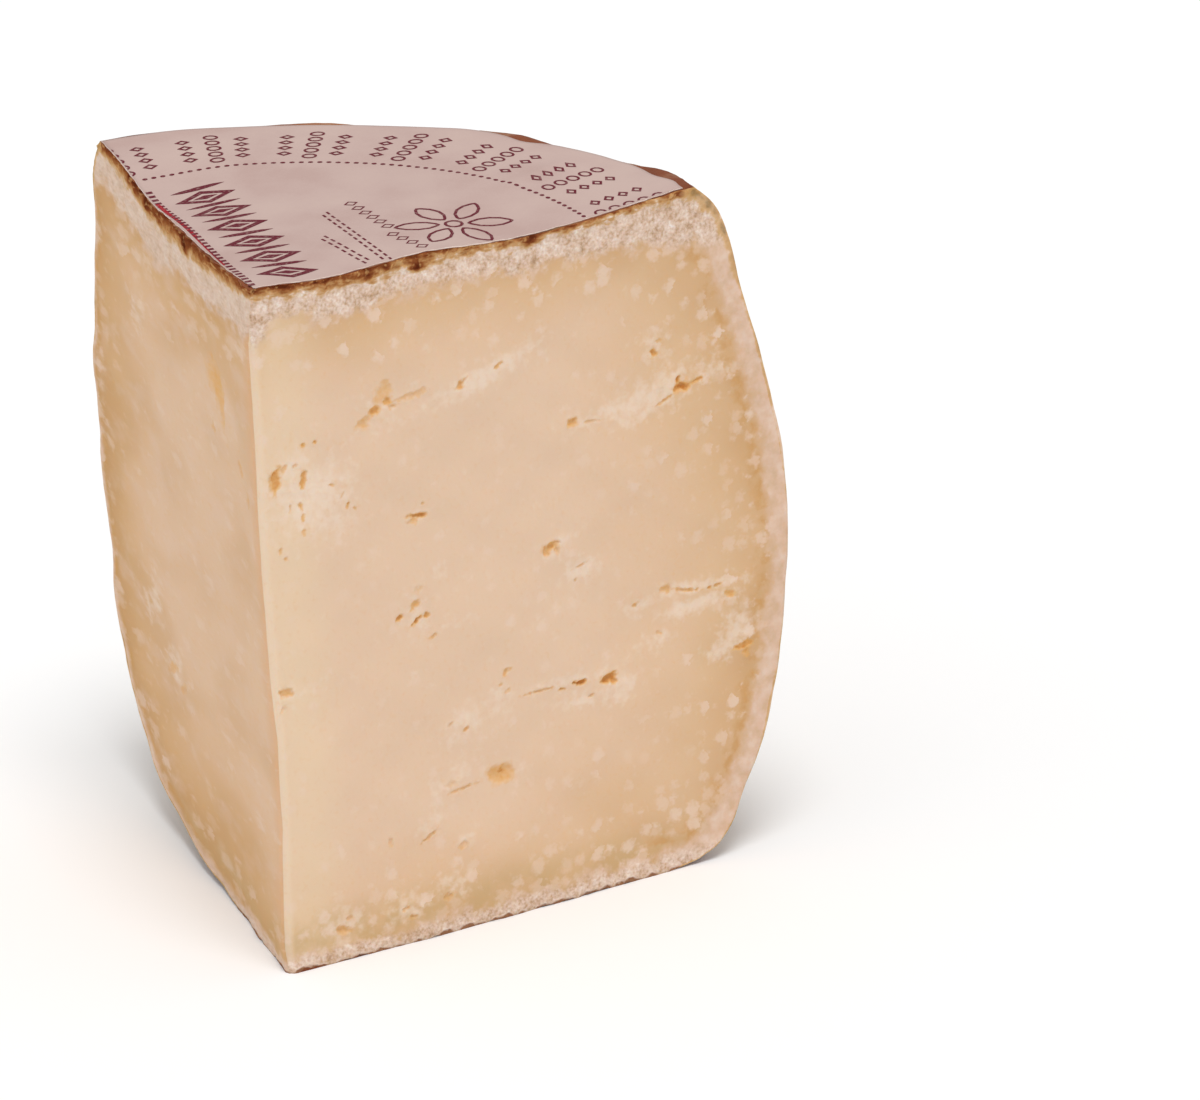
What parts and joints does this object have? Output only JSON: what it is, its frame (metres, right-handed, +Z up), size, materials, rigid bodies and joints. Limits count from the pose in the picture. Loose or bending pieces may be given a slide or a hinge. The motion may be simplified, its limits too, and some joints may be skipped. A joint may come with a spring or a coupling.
{
  "type": "aged sheep's milk cheese wedge",
  "caption": "Upright wedge of a tall, barrel-sided wheel of hard aged cheese with a torn, pitted cut face, a browned top crust and a printed paper label.",
  "frame": {"origin": "centre of the part's box at its base, on the surface that the wedge stands on", "axes": "+Z up along the axis of the wheel, +Y from the front edge, where the two cut faces meet, towards the rind, +X to the right of it"},
  "size_m": [0.1352, 0.1072, 0.1314],
  "materials": {
    "cheese": "hard aged cheese paste, cut and slightly oily, with a dry mealy rind",
    "label_paper": "matt uncoated paper with dark red print"
  },
  "bodies": {
    "root": {"cheese_wedge": "cheese", "paper_label": "label_paper"}
  },
  "joints": []
}
